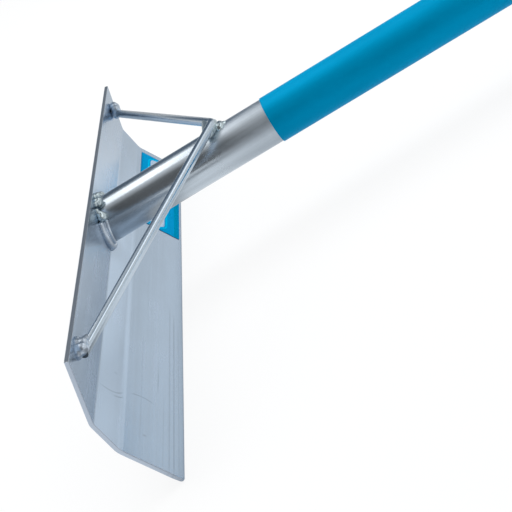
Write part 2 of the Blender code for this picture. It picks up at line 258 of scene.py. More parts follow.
def pick(kind, wanted):
    """In edit mode, selects the edges or faces that pass the test."""
    bpy.ops.mesh.select_mode(type=kind)
    bpy.ops.mesh.select_all(action="DESELECT")
    mesh = bmesh.from_edit_mesh(bpy.context.object.data)
    for item in mesh.edges if kind == "EDGE" else mesh.faces:
        if wanted(item):
            item.select_set(True)
    mesh.select_flush_mode()
    bmesh.update_edit_mesh(bpy.context.object.data)


def near(value, other, room=1e-5):
    return abs(value - other) < room


def line_at(point):
    """A test for edges along the blade that pass through this point of the XZ plane."""
    return lambda edge: all(near(v.co.x, point.x) and near(v.co.z, point.z) for v in edge.verts)


def extrude(by):
    bpy.ops.mesh.extrude_region_move(TRANSFORM_OT_translate={"value": tuple(by)})


def modify(kind, **settings):
    """Adds a modifier to the active object and applies it."""
    modifier = bpy.context.object.modifiers.new(kind.lower(), kind)
    for name, value in settings.items():
        setattr(modifier, name, value)
    bpy.ops.object.modifier_apply(modifier=modifier.name)


def facing(direction):
    """Rotation that turns local Z to this direction."""
    return direction.to_track_quat("Z", "Y").to_euler()


def keep(obj, name, node, material, smooth_degrees):
    """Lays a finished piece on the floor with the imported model, and puts it in place of its node."""
    take(obj)
    obj.matrix_world = tool_frame() @ obj.matrix_world
    apply_place()
    bpy.ops.object.shade_smooth_by_angle(angle=math.radians(smooth_degrees))
    obj.name = name
    obj.data.name = name
    obj.data.materials.clear()
    obj.data.materials.append(material)
    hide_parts(node)
    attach(obj, BODY)


# Finishes

# Where most of a noise pattern lies
NOISE_LOW = 0.3
NOISE_HIGH = 0.7


class Nodes:
    """Adds and links the nodes of one tree by short calls."""

    def __init__(self, tree):
        self.tree = tree
        tree.nodes.clear()

    def node(self, kind, inputs, **settings):
        node = self.tree.nodes.new("ShaderNode" + kind)
        for name, value in settings.items():
            setattr(node, name, value)
        for name, value in inputs.items():
            self.feed(node.inputs[name], value)
        return node

    def feed(self, socket, value):
        if isinstance(value, bpy.types.NodeSocket):
            self.tree.links.new(value, socket)
        elif socket.type == "RGBA" and len(value) == 3:
            socket.default_value = (*value, 1.0)
        else:
            socket.default_value = value

    def between(self, value, low, high, to_low=0.0, to_high=1.0):
        inputs = {"Value": value, "From Min": low, "From Max": high, "To Min": to_low, "To Max": to_high}
        return self.node("MapRange", inputs, clamp=True).outputs["Result"]

    def math(self, kind, first, second=0.0):
        node = self.node("Math", {}, operation=kind)
        self.feed(node.inputs[0], first)
        self.feed(node.inputs[1], second)
        return node.outputs["Value"]

    def split(self, vector):
        return self.node("SeparateXYZ", {"Vector": vector}).outputs

    def mix(self, factor, first, second):
        """From the first number to the second."""
        node = self.node("Mix", {}, data_type="FLOAT")
        for socket, value in zip((0, 2, 3), (factor, first, second)):
            self.feed(node.inputs[socket], value)
        return node.outputs[0]

    def blend(self, factor, first, second):
        """From the first colour to the second."""
        node = self.node("Mix", {}, data_type="RGBA")
        for socket, value in zip((0, 6, 7), (factor, first, second)):
            self.feed(node.inputs[socket], value)
        return node.outputs[2]

    def mix_shader(self, factor, first, second):
        node = self.node("MixShader", {})
        for socket, value in zip((0, 1, 2), (factor, first, second)):
            self.feed(node.inputs[socket], value)
        return node.outputs[0]

    def steps(self, value, stops):
        """A brightness that goes through the stops, each a place from -1 to 1 and a level."""
        ramp = self.node("ValToRGB", {"Fac": self.between(value, -1.0, 1.0)})
        elements = ramp.color_ramp.elements
        while len(elements) < len(stops):
            elements.new(1.0)
        for element, (place, level) in zip(elements, stops):
            element.position = (place + 1) / 2
            element.color = (level, level, level, 1.0)
        return ramp.outputs["Color"]


class Finish(Nodes):
    """One material of a piece, with a shader that the patterns feed."""

    def __init__(self, name, metallic, **constants):
        self.material = bpy.data.materials.new(name)
        self.material.use_nodes = True
        super().__init__(self.material.node_tree)
        self.shader = self.node("BsdfPrincipled", {"Metallic": metallic})
        self.node("OutputMaterial", {"Surface": self.shader.outputs["BSDF"]})
        for socket, value in constants.items():
            self.shader.inputs[socket.replace("_", " ")].default_value = value

    def place(self, stretch=(1, 1, 1)):
        """The point on the piece, stretched so that a pattern runs along one way."""
        point = self.node("TexCoord", {}).outputs["Object"]
        return self.node("Mapping", {"Vector": point, "Scale": stretch}).outputs["Vector"]

    def noise(self, vector, scale, detail, roughness=0.5):
        inputs = {"Vector": vector, "Scale": scale, "Detail": detail, "Roughness": roughness}
        return self.node("TexNoise", inputs).outputs["Fac"]

    def spread(self, pattern, low=0.0, high=1.0):
        """A number that follows a noise pattern from low to high."""
        return self.between(pattern, NOISE_LOW, NOISE_HIGH, low, high)

    def shades(self, pattern, base, dark, light):
        """The base colour, darkened where a noise pattern is low and lightened where it is high."""
        return self.blend(self.spread(pattern), tint(base, dark), tint(base, light))

    def from_point(self, first, second, point):
        """How far two coordinates are from a point."""
        away = [self.math("SUBTRACT", value, at) for value, at in zip((first, second), point)]
        squares = [self.math("POWER", value, 2.0) for value in away]
        return self.math("SQRT", self.math("ADD", *squares))

    def bump(self, height, strength, distance, normal=None):
        inputs = {"Height": height, "Strength": strength, "Distance": distance}
        if normal:
            inputs["Normal"] = normal
        return self.node("Bump", inputs).outputs["Normal"]

    def out(self, base, roughness, normal):
        """Feeds the shader, and gives the finished material."""
        for name, value in (("Base Color", base), ("Roughness", roughness), ("Normal", normal)):
            self.feed(self.shader.inputs[name], value)
        return self.material


def tint(base, factor):
    """The colour made lighter or darker."""
    return tuple(min(1.0, channel * factor) for channel in base)


def depth(made, start, way):
    """How far a point of the piece lies past the start along the way, both given in the tool's own frame."""
    laid = tool_frame()
    from_start = made.node("VectorMath", {}, operation="SUBTRACT")
    made.feed(from_start.inputs[0], made.place())
    made.feed(from_start.inputs[1], tuple(laid @ start))
    along = made.node("VectorMath", {}, operation="DOT_PRODUCT")
    made.feed(along.inputs[0], from_start.outputs["Vector"])
    made.feed(along.inputs[1], tuple(laid.to_3x3() @ way.normalized()))
    return along.outputs["Value"]


# Lines that rolling left on the lower strip: place across the strip, half width, start, end, strength
DRAWN_LINES = (
    (0.0306, 0.00080, -0.035, -0.250, 0.45),
    (0.0336, 0.00070, -0.045, -0.250, 0.65),
    (0.0229, 0.00060, -0.125, -0.166, 0.55),
    (0.0267, 0.00050, -0.160, -0.250, 0.25),
    (0.0119, 0.00080, -0.090, -0.230, 0.20),
    (0.0368, 0.00060, -0.060, -0.250, 0.30),
)
LINE_START_FADE = 0.020
LINE_END_FADE = (-0.002, 0.010)

# Places of the scratches and spots are along the blade and above the handle's middle line
# A scratch has the centre and radius of its curve, its middle and its reach
SCRATCHES = (
    ((-0.1733, -0.0120), 0.0269, (-0.1940, -0.0280), 0.0130),
    ((-0.1909, -0.0474), 0.0118, (-0.1792, -0.0480), 0.0078),
    ((-0.1733, -0.0120), 0.0300, (-0.1950, -0.0330), 0.0060),
)
SCRATCH_HALF_WIDTH = 0.00080
SCRATCH_STRENGTH = 0.75
SCRATCH_CORE = 0.6
SPOTS = (((-0.2210, -0.0496), 0.0014), ((-0.1704, -0.0297), 0.0014))
SPOT_STRENGTH = 0.5
SPOT_CORE = 0.3
# Round the tube's foot the sheet is darkened: partly a stain, partly painted shade
STAIN_AND_SHADE_START = 0.0200
STAIN_AND_SHADE_END = 0.0330
STAIN_AND_SHADE_STRENGTH = 0.45
MARK_TINT = 0.62


def sheet_marks(made):
    """Rolled lines, scratches, spots, and a darkening round the tube's foot that is partly a stain and partly
    painted shade, from 0 to 1.
    """
    y = made.split(made.place())["Y"]
    z = depth(made, Vector(), Vector((0, 0, 1)))
    across = depth(made, back_corners()[2], down(leans()[2]))
    # The darkening round the tube's foot: partly stain, partly painted shade
    marks = made.between(made.from_point(y, z, (0.0, 0.0)), STAIN_AND_SHADE_END, STAIN_AND_SHADE_START, 0.0, STAIN_AND_SHADE_STRENGTH)
    for line, half_width, start, end, strength in DRAWN_LINES:
        here = made.between(made.math("ABSOLUTE", made.math("SUBTRACT", across, line)), half_width, 0.0)
        after_start = made.between(y, start, start - LINE_START_FADE)
        before_end = made.between(y, *(end + fade for fade in LINE_END_FADE))
        within = made.math("MULTIPLY", after_start, before_end)
        mark = made.math("MULTIPLY", made.math("MULTIPLY", here, within), strength)
        marks = made.math("MAXIMUM", marks, mark)
    for centre, radius, middle, reach in SCRATCHES:
        off = made.math("ABSOLUTE", made.math("SUBTRACT", made.from_point(y, z, centre), radius))
        here = made.between(off, SCRATCH_HALF_WIDTH, 0.0, 0.0, SCRATCH_STRENGTH)
        within = made.between(made.from_point(y, z, middle), reach, reach * SCRATCH_CORE)
        marks = made.math("MAXIMUM", marks, made.math("MULTIPLY", here, within))
    for place, radius in SPOTS:
        spot = made.between(made.from_point(y, z, place), radius, radius * SPOT_CORE, 0.0, SPOT_STRENGTH)
        marks = made.math("MAXIMUM", marks, spot)
    return marks


SHEET_ROUGHNESS = (0.21, 0.30)
SHEARED_ROUGHNESS = 0.42
SHEAR_DEPTH = 0.0004
SHEARED_TOP_COLOUR = (0.53, 0.56, 0.60)
SHEARED_END_COLOUR = (0.565, 0.632, 0.732)


def sheet_finish():
    """Mill finish: fine rolled lines along the blade, soft blotches, a few handling marks."""
    base = colours().sheet
    made = Finish("mill_sheet", 1.0)
    fine = made.noise(made.place(stretch=(1, 0.012, 1)), scale=2600, detail=2)
    lines = made.noise(made.place(stretch=(1, 0.01, 1)), scale=420, detail=3, roughness=0.6)
    blotches = made.noise(made.place(stretch=(1, 0.5, 1)), scale=38, detail=3)
    shade = made.mix(0.5, lines, blotches)
    base_colour = made.shades(shade, base, dark=0.93, light=1.07)
    rough = made.spread(shade, *SHEET_ROUGHNESS)
    to_top = depth(made, back_corners()[0], down(leans()[0]))
    from_middle = made.math("ABSOLUTE", made.split(made.place())["Y"])
    to_end = made.math("SUBTRACT", sizes().blade_length / 2, from_middle)
    on_top = made.between(to_top, SHEAR_DEPTH, SHEAR_DEPTH * 0.5)
    on_end = made.between(to_end, SHEAR_DEPTH, SHEAR_DEPTH * 0.5)
    rough = made.mix(made.math("MAXIMUM", on_top, on_end), rough, SHEARED_ROUGHNESS)
    base_colour = made.blend(on_end, base_colour, SHEARED_END_COLOUR)
    base_colour = made.blend(on_top, base_colour, SHEARED_TOP_COLOUR)
    base_colour = made.blend(sheet_marks(made), base_colour, tint(base, MARK_TINT))
    relief = made.bump(fine, strength=0.14, distance=0.00005)
    relief = made.bump(lines, strength=0.25, distance=0.0001, normal=relief)
    return made.out(base_colour, rough, relief)


# Along the tube from the blade: where its colour is darkened near the foot as painted shade, and where bright
# turns to satin
TUBE_FOOT_SHADE = (0.020, 0.048)
TUBE_FOOT_SHADE_TINT = 0.76
TUBE_SATIN = (0.083, 0.130)
TUBE_ROUGHNESS = (0.20, 0.48)


def tube_finish():
    """Drawn tube: bright near the blade and satin after it, with faint lines along it, a faint mottle, and
    painted shade near the blade.
    """
    base = colours().tube
    made = Finish("drawn_tube", 1.0)
    along = made.place(stretch=(0.01, 1, 1))
    fine = made.noise(along, scale=2200, detail=2)
    lines = made.noise(along, scale=500, detail=3)
    mottle = made.spread(made.noise(made.place(), scale=620, detail=3), 0.88, 1.12)
    x = made.math("SUBTRACT", made.split(made.place())["X"], tool_frame().translation.x)
    # Painted shade: the colour is darker near the blade and fades out along the tube
    foot_shade = tint(base, TUBE_FOOT_SHADE_TINT)
    plain = made.shades(lines, base, dark=0.94, light=1.05)
    base_colour = made.blend(made.between(x, *TUBE_FOOT_SHADE), foot_shade, plain)
    satin = made.between(x, *TUBE_SATIN, *TUBE_ROUGHNESS)
    rough = made.math("ADD", satin, made.spread(lines, -0.02, 0.04))
    relief = made.bump(fine, strength=0.2, distance=0.00004)
    relief = made.bump(mottle, strength=0.12, distance=0.0001, normal=relief)
    return made.out(base_colour, made.math("MULTIPLY", rough, mottle), relief)


CUT_FACE_DEPTH = 0.0002
CUT_FACE_SHADE_TINT = 0.3
CUT_FACE_ROUGHNESS = 0.6


def rod_finish():
    """Bright drawn rod, with dull saw cuts at both ends whose colour is darkened as painted shade."""
    base = colours().rod
    made = Finish("drawn_rod", 1.0)
    marks = made.noise(made.place(), scale=700, detail=3)
    to_cut = made.math("MINIMUM", *(depth(made, end, apex() - end) for end in leg_ends()))
    on_cut = made.between(to_cut, CUT_FACE_DEPTH, CUT_FACE_DEPTH * 0.5)
    base_colour = made.shades(marks, base, dark=0.94, light=1.05)
    # Painted shade: the colour of the cut ends is darkened
    base_colour = made.blend(on_cut, base_colour, tint(base, CUT_FACE_SHADE_TINT))
    rough = made.mix(on_cut, made.spread(marks, 0.16, 0.25), CUT_FACE_ROUGHNESS)
    return made.out(base_colour, rough, made.bump(marks, strength=0.12, distance=0.00005))


WELD_PATCHES = (0.35, 0.70)
WELD_PATCH_TINTS = (1.05, 0.82)
WELD_ROUGHNESS_SPREAD = 0.06


def weld_finish(base, dullness, grain_depth):
    """Bare weld metal with darker patches."""
    made = Finish("weld_metal", 1.0)
    grain = made.noise(made.place(), scale=900, detail=4)
    patches = made.noise(made.place(), scale=220, detail=3)
    tints = (tint(base, factor) for factor in WELD_PATCH_TINTS)
    base_colour = made.blend(made.between(patches, *WELD_PATCHES), *tints)
    rough = made.spread(patches, dullness - WELD_ROUGHNESS_SPREAD, dullness + WELD_ROUGHNESS_SPREAD)
    return made.out(base_colour, rough, made.bump(grain, strength=grain_depth, distance=0.0001))


# A faint sheen of the same blue on the two blue finishes
BLUE_SHEEN = (0.02, 0.75, 1.0, 1.0)


def sleeve_finish():
    """Satin blue skin with a faint orange peel."""
    base = colours().sleeve
    made = Finish("blue_skin", 0.15, Specular_IOR_Level=0.03, Specular_Tint=BLUE_SHEEN)
    peel = made.noise(made.place(), scale=420, detail=3)
    clouds = made.noise(made.place(stretch=(0.3, 1, 1)), scale=60, detail=3)
    base_colour = made.shades(clouds, base, dark=0.95, light=1.06)
    rough = made.spread(clouds, 0.32, 0.42)
    return made.out(base_colour, rough, made.bump(peel, strength=0.2, distance=0.0002))


PANEL_MIDDLE = 0.0155
PANEL_HALF_WIDTH = 0.0068
PANEL_FROM_END = 0.0060
PANEL_EDGE = (0.0003, -0.0001)
OUTLINE_OFF_PANEL = 0.0018
OUTLINE_EDGE = (0.0009, 0.0005)
OUTLINE_COLOUR = (0.0, 0.50, 0.80)
LABEL_BORDER = (0.0016, 0.0010)
LABEL_BORDER_TINT = 0.80
LABEL_BAND = (0.0305, 0.0308)
LABEL_BAND_COLOUR = (0.0, 0.27, 0.46)


def label_finish():
    """Printed film: a blue field with a darker border and band, and a pale outlined panel with round ends."""
    blue = colours().label
    made = Finish("label_film", 0.3, Specular_IOR_Level=0.0, Specular_Tint=BLUE_SHEEN)
    place = made.split(made.node("TexCoord", {}).outputs["UV"])
    across = made.math("MULTIPLY", place["X"], sizes().label_width)
    along = made.math("MULTIPLY", place["Y"], sizes().label_length)
    half_width = sizes().label_width / 2
    half_length = sizes().label_length / 2
    from_side = made.math("ABSOLUTE", made.math("SUBTRACT", across, half_width))
    from_middle = made.math("ABSOLUTE", made.math("SUBTRACT", along, half_length))
    to_side = made.math("SUBTRACT", half_width, from_side)
    to_edge = made.math("MINIMUM", to_side, made.math("SUBTRACT", half_length, from_middle))
    straight = half_length - PANEL_FROM_END - PANEL_HALF_WIDTH
    past_straight = made.math("MAXIMUM", made.math("SUBTRACT", from_middle, straight), 0.0)
    reach = made.from_point(past_straight, across, (0.0, PANEL_MIDDLE))
    off_panel = made.math("SUBTRACT", reach, PANEL_HALF_WIDTH)
    off_outline = made.math("ABSOLUTE", made.math("SUBTRACT", off_panel, OUTLINE_OFF_PANEL))
    grain = made.noise(made.place(), scale=500, detail=2)
    clouds = made.noise(made.place(), scale=90, detail=2)
    base = made.shades(clouds, blue, dark=0.95, light=1.05)
    base = made.blend(made.between(across, *LABEL_BAND), base, LABEL_BAND_COLOUR)
    base = made.blend(made.between(to_edge, *LABEL_BORDER), base, tint(blue, LABEL_BORDER_TINT))
    base = made.blend(made.between(off_outline, *OUTLINE_EDGE), base, OUTLINE_COLOUR)
    base = made.blend(made.between(off_panel, *PANEL_EDGE), base, colours().label_panel)
    rough = made.spread(clouds, 0.26, 0.34)
    return made.out(base, rough, made.bump(grain, strength=0.05, distance=0.0001))


def plug_finish():
    """Moulded plastic with a fine grain."""
    base = colours().plug
    made = Finish("moulded_plug", 0.0)
    grain = made.noise(made.place(), scale=1500, detail=2)
    base_colour = made.shades(grain, base, dark=0.8, light=1.3)
    rough = made.spread(grain, 0.42, 0.56)
    return made.out(base_colour, rough, made.bump(grain, strength=0.3, distance=0.0001))


# Pieces

SHARP_ANGLE = math.radians(60)
BEND_SEGMENTS = 14
BLADE_CUTS = 120
WAVE_SIZE = 0.09
WAVE_HEIGHT = 0.00014
CORNER_SEGMENTS = 6
END_ROOM = 0.0001
THROUGH_ROOM = 1.2

# Rounding of the lower edge, and the share of it that the sheared edges get
EDGE_WIDTH = 0.00128
EDGE_SEGMENTS = 5
SHEARED_SHARE = 0.2


class RAKE_OT_blade(bpy.types.Operator):
    """Models the blade: a sheet with two bends, a sheared top edge and a rounded lower edge"""

    bl_idname = "rake.blade"
    bl_label = "Blade"

    def execute(self, context):
        corners = back_corners()
        strips = [after - before for before, after in zip(corners, corners[1:])]
        deselect()
        middle = (corners[0] + corners[1]) / 2
        bpy.ops.mesh.primitive_plane_add(size=1, location=middle, rotation=(0, math.pi / 2 - leans()[0], 0))
        blade = context.object
        blade.scale = (strips[0].length, sizes().blade_length, 1)
        apply_place()
        edit()
        for corner, strip in zip(corners[1:], strips[1:]):
            pick("EDGE", line_at(corner))
            extrude(strip)
        self.bend(corners)
        pick("EDGE", lambda edge: abs(edge.verts[0].co.y - edge.verts[1].co.y) > sizes().blade_length / 2)
        bpy.ops.mesh.subdivide(number_cuts=BLADE_CUTS)
        done()
        self.make_uneven()
        modify("SOLIDIFY", thickness=sizes().sheet, offset=1.0, use_even_offset=True)
        self.finish_edges(corners)
        keep(blade, "bent_blade", "blade", sheet_finish(), smooth_degrees=25)
        modify("WEIGHTED_NORMAL", keep_sharp=True)
        return {"FINISHED"}

    def bend(self, corners):
        """Rounds the two corners of the open sheet."""
        inner = (sizes().upper_bend, sizes().lower_bend)
        for corner, radius, before, after in zip(corners[1:3], inner, leans(), leans()[1:]):
            offset = (radius + sizes().sheet) * math.tan((after - before) / 2)
            pick("EDGE", line_at(corner))
            bpy.ops.mesh.bevel(offset=offset, segments=BEND_SEGMENTS, affect="EDGES")

    def make_uneven(self):
        """The sheet is a little wavy, as rolled and bent sheet is."""
        waves = bpy.data.textures.new("sheet_waves", "CLOUDS")
        waves.noise_scale = WAVE_SIZE
        modify("DISPLACE", texture=waves, texture_coords="LOCAL", strength=WAVE_HEIGHT, mid_level=0.5)

    def finish_edges(self, corners):
        """Rounds the lower corners, then all edges: the lower one to half the sheet, the others a little."""
        half = sizes().blade_length / 2
        sheet = sizes().sheet
        bottom = corners[3].z

        def at_end(vert):
            return abs(vert.co.y) > half - END_ROOM

        def through_corner(edge):
            """Across the sheet, at its lower edge and at one of its ends."""
            first, second = edge.verts
            short = (first.co - second.co).length < sheet * THROUGH_ROOM
            low = max(first.co.z, second.co.z) < bottom + sheet * THROUGH_ROOM
            return at_end(first) and at_end(second) and short and low and near(first.co.y, second.co.y)

        def sharp(edge):
            return edge.calc_face_angle(0.0) > SHARP_ANGLE

        def round_over(edge):
            low = bottom + sizes().corner_radius + sheet / 2
            return sharp(edge) and all(vert.co.z < low for vert in edge.verts)

        edit()
        pick("EDGE", through_corner)
        bpy.ops.mesh.bevel(offset=sizes().corner_radius, segments=CORNER_SEGMENTS, affect="EDGES")
        pick("EDGE", sharp)
        bpy.ops.transform.edge_bevelweight(value=SHEARED_SHARE)
        pick("EDGE", round_over)
        bpy.ops.transform.edge_bevelweight(value=1.0)
        done()
        modify(
            "BEVEL",
            width=EDGE_WIDTH,
            segments=EDGE_SEGMENTS,
            limit_method="WEIGHT",
            use_clamp_overlap=False,
        )


ROUND_SIDES = 128
TUBE_INTO_SHEET = 0.0010
SLEEVE_ON_TUBE_GAP = 0.00001
SLEEVE_LIP = 0.0003


class RAKE_OT_handle(bpy.types.Operator):
    """Models the handle's tube and the blue skin on it"""

    bl_idname = "rake.handle"
    bl_label = "Handle"

    def execute(self, context):
        self.model_tube()
        self.model_sleeve()
        return {"FINISHED"}

    def pipe(self, start, end, radius):
        """An open pipe along the handle."""
        deselect()
        bpy.ops.mesh.primitive_cylinder_add(
            vertices=ROUND_SIDES,
            radius=radius,
            depth=end - start,
            end_fill_type="NOTHING",
            location=((start + end) / 2, 0, 0),
            rotation=(0, math.pi / 2, 0),
        )
        apply_place()
        return bpy.context.object

    def model_tube(self):
        """The foot is cut along the top strip, just inside the sheet, where the weld hides it."""
        reach = sizes().tube_radius * 2
        tube = self.pipe(-reach, sizes().handle_length, sizes().tube_radius)
        lean = leans()[0]
        edit()
        bpy.ops.mesh.select_all(action="SELECT")
        cut = top_point(0, -TUBE_INTO_SHEET, 0)
        bpy.ops.mesh.bisect(plane_co=cut, plane_no=-front(lean), clear_outer=True)
        done()
        modify("SOLIDIFY", thickness=sizes().tube_wall, offset=-1.0)
        keep(tube, "handle_pipe", "handle_tube", tube_finish(), smooth_degrees=40)

    def model_sleeve(self):
        """A thin skin on the tube, with its outer rim at the start rounded."""
        start = sizes().sleeve_start
        inner = sizes().tube_radius
        outer = sizes().sleeve_radius
        sleeve = self.pipe(start, sizes().handle_length, inner + SLEEVE_ON_TUBE_GAP)
        modify("SOLIDIFY", thickness=outer - inner, offset=1.0)

        def outer_rim(edge):
            away = [math.hypot(vert.co.y, vert.co.z) for vert in edge.verts]
            return all(near(vert.co.x, start) for vert in edge.verts) and min(away) > (inner + outer) / 2

        edit()
        pick("EDGE", outer_rim)
        bpy.ops.mesh.bevel(offset=SLEEVE_LIP, segments=3, affect="EDGES")
        done()
        keep(sleeve, "handle_skin", "handle_sleeve", sleeve_finish(), smooth_degrees=40)


PLUG_SIDES = 96
PLUG_RIM_RADIUS = 0.0018
PLUG_FACE_RIM = 0.0040
PLUG_RECESS = 0.0004
PLUG_RIB_HEIGHT = 0.0009
PLUG_RIBS = 4

# Shares of a rib's pitch: its rise, its flat top and its fall
RIB_RISE = 0.4
RIB_TOP = 0.1
RIB_FALL = 0.5


class RAKE_OT_plug(bpy.types.Operator):
    """Models the plug in the handle's far end"""

    bl_idname = "rake.plug"
    bl_label = "End Plug"

    def execute(self, context):
        start = sizes().handle_length + TOUCH_GAP
        deselect()
        bpy.ops.mesh.primitive_cylinder_add(
            vertices=PLUG_SIDES,
            radius=sizes().plug_radius,
            depth=sizes().plug_head,
            location=(start + sizes().plug_head / 2, 0, 0),
            rotation=(0, math.pi / 2, 0),
        )
        plug = context.object
        apply_place()
        self.model_head(start)
        self.model_shank(start)
        keep(plug, "end_plug", "handle_end_plug", plug_finish(), smooth_degrees=35)
        return {"FINISHED"}

    def model_head(self, start):
        """A rounded rim and a shallow round recess in the face."""
        face = start + sizes().plug_head
        edit()
        pick("EDGE", lambda edge: all(near(vert.co.x, face) for vert in edge.verts))
        bpy.ops.mesh.bevel(offset=PLUG_RIM_RADIUS, segments=6, affect="EDGES")
        pick("FACE", self.disc_at(face))
        bpy.ops.mesh.inset(thickness=PLUG_FACE_RIM)
        bpy.ops.mesh.inset(thickness=PLUG_RECESS, depth=-PLUG_RECESS)
        done()

    def disc_at(self, x):
        """A test for the one round face at this place along the handle."""
        return lambda face: near(face.calc_center_median().x, x) and len(face.verts) == PLUG_SIDES

    def model_shank(self, start):
        """Ribs that grip the tube's bore."""
        bore = sizes().tube_radius - sizes().tube_wall - TOUCH_GAP
        core = bore - PLUG_RIB_HEIGHT
        pitch = sizes().plug_shank / PLUG_RIBS
        edit()
        pick("FACE", self.disc_at(start))
        bpy.ops.mesh.inset(thickness=sizes().plug_radius - core)
        for _rib in range(PLUG_RIBS):
            extrude((-pitch * RIB_RISE, 0, 0))
            bpy.ops.transform.resize(value=(1, bore / core, bore / core), center_override=(0, 0, 0))
            extrude((-pitch * RIB_TOP, 0, 0))
            extrude((-pitch * RIB_FALL, 0, 0))
            bpy.ops.transform.resize(value=(1, core / bore, core / bore), center_override=(0, 0, 0))
        done()


ROD_SIDES = 40
ROD_BEND_STEPS = 16
CUT_END_BREAK = 0.00022
MERGE_DISTANCE = 0.000001
BEND_END_ROOM = 0.0001
BEND_END_COSINE = 0.999


class RAKE_OT_brace(bpy.types.Operator):
    """Models the brace: one round rod bent over the tube, with two square cut ends"""

    bl_idname = "rake.brace"
    bl_label = "Brace"

    def execute(self, context):
        left, right = leg_ends()
        first = (apex() - left).normalized()
        second = (right - apex()).normalized()
        turn = first.angle(second)
        radius = sizes().rod_bend_radius
        start = apex() - first * radius * math.tan(turn / 2)
        end = apex() + second * radius * math.tan(turn / 2)
        inward = (second - first * first.dot(second)).normalized()
        deselect()
        bpy.ops.mesh.primitive_circle_add(
            vertices=ROD_SIDES,
            radius=sizes().rod_radius,
            fill_type="NGON",
            location=left,
            rotation=facing(first),
        )
        rod = context.object
        apply_place()
        edit()
        bpy.ops.mesh.select_all(action="SELECT")
        extrude(start - left)
        bpy.ops.mesh.spin(
            steps=ROD_BEND_STEPS,
            angle=turn,
            center=start + inward * radius,
            axis=inward.cross(first).normalized(),
        )
        self.check_bend_end(end, second)
        extrude(right - end)
        bpy.ops.mesh.select_all(action="SELECT")
        bpy.ops.mesh.remove_doubles(threshold=MERGE_DISTANCE)
        bpy.ops.mesh.normals_make_consistent(inside=False)
        pick("EDGE", lambda edge: edge.calc_face_angle(0.0) > SHARP_ANGLE)
        bpy.ops.mesh.bevel(offset=CUT_END_BREAK, segments=2, affect="EDGES")
        done()
        keep(rod, "bent_rod", "brace_rod", rod_finish(), smooth_degrees=40)
        return {"FINISHED"}

    def check_bend_end(self, end, way):
        """Stops where the selected last face of the bend isn't at its end and square to the leg."""
        mesh = bmesh.from_edit_mesh(bpy.context.object.data)
        chosen = [face for face in mesh.faces if face.select]
        middle = sum((face.calc_center_median() for face in chosen), Vector()) / max(len(chosen), 1)
        if (middle - end).length > BEND_END_ROOM or abs(chosen[0].normal.dot(way)) < BEND_END_COSINE:
            raise RuntimeError(f"the rod's bend ends at {tuple(middle)} and not at {tuple(end)}")


WELD_VOXEL = 0.00035
WELD_SMOOTH_DEGREES = 80
WOBBLE_SEED = 4

# Angles round the tube's foot, where its top is at 90 degrees
FOOT_START = -28
FOOT_EVEN_END = 68
FOOT_MEET = 165
FOOT_SECOND_END = 236
FOOT_END = 332

# An even run round the foot: start and end angle, pitch, off the tube and off the blade at both ends, radius,
# length along the run in radii, and how much the radius varies
FOOT_UPPER_RUNS = (
    (FOOT_START, FOOT_EVEN_END, 0.0031, (0.0012, 0.0012), (0.0014, 0.0014), 0.0030, 0.85, 0.0002),
)
FOOT_LOWER_RUNS = (
    (FOOT_MEET, FOOT_SECOND_END, 0.0011, (0.0030, 0.0016), (0.0006, 0.0006), 0.0027, 0.8, 0.0),
    (FOOT_SECOND_END, FOOT_END, 0.0011, (0.0016, 0.0016), (0.0006, 0.0006), 0.0027, 0.8, 0.0),
    (FOOT_MEET, FOOT_END, 0.0011, (0.0008, 0.0008), (0.0010, 0.0010), 0.0018, 0.8, 0.0),
    (FOOT_MEET, FOOT_SECOND_END, 0.0011, (0.0003, 0.0003), (0.0046, 0.0038), 0.0016, 0.8, 0.0),
)

# The lumps that end the upper run: angle, off the tube, off the blade, radius, length along the run in radii
FOOT_LUMPS = (
    (55, 0.0012, 0.0030, 0.0030, 0.95),
    (84, 0.0014, 0.0016, 0.0030, 0.95),
    (95, 0.0032, 0.0000, 0.0021, 1.00),
    (116, 0.0020, 0.0022, 0.0039, 0.90),
    (150, 0.0020, 0.0024, 0.0034, 1.20),
    (124, 0.0046, 0.0006, 0.0022, 1.00),
    (138, 0.0044, 0.0006, 0.0021, 1.00),
)

# A flat drop among them, turned up and away from the blade
FOOT_FLAT_DROP = (150, 0.0028, 0.0036, 0.0036, 0.5)
FOOT_FLAT_WAY = Vector((0.64, -0.40, 0.65))

# A leg's weld: from the rod's end inwards, above its middle line, out of the strip, radius, length in radii
LEFT_LEG_DROPS = (
    (0.0016, 0.0022, 0.0036, 0.0039, 1.0),
    (0.0058, 0.0028, 0.0040, 0.0039, 1.0),
    (0.0090, 0.0026, 0.0050, 0.0034, 1.0),
    (0.0116, 0.0022, 0.0058, 0.0030, 1.0),
    (0.0060, 0.0046, 0.0006, 0.0024, 1.4),
    (0.0100, 0.0042, 0.0006, 0.0022, 1.4),
    (0.0020, 0.0030, 0.0006, 0.0026, 1.2),
    (-0.0004, 0.0012, 0.0008, 0.0026, 1.0),
    (0.0002, -0.0010, 0.0004, 0.0022, 1.0),
)
RIGHT_LEG_DROPS = (
    (-0.0072, 0.0046, 0.0008, 0.0027, 1.2),
    (-0.0035, 0.0055, 0.0026, 0.0036, 1.0),
    (0.0010, 0.0052, 0.0036, 0.0043, 1.0),
    (0.0055, 0.0045, 0.0046, 0.0039, 0.9),
    (0.0020, -0.0002, 0.0032, 0.0038, 1.0),
    (0.0050, 0.0010, 0.0030, 0.0036, 1.0),
)

# The weld before the bend: along the handle, along the blade, height, radius
BEND_FRONT_DROPS = (
    (0.1060, -0.0026, 0.0150, 0.0041),
    (0.1060, 0.0022, 0.0146, 0.0037),
    (0.1092, -0.0004, 0.0144, 0.0029),
    (0.1030, -0.0002, 0.0172, 0.0037),
)

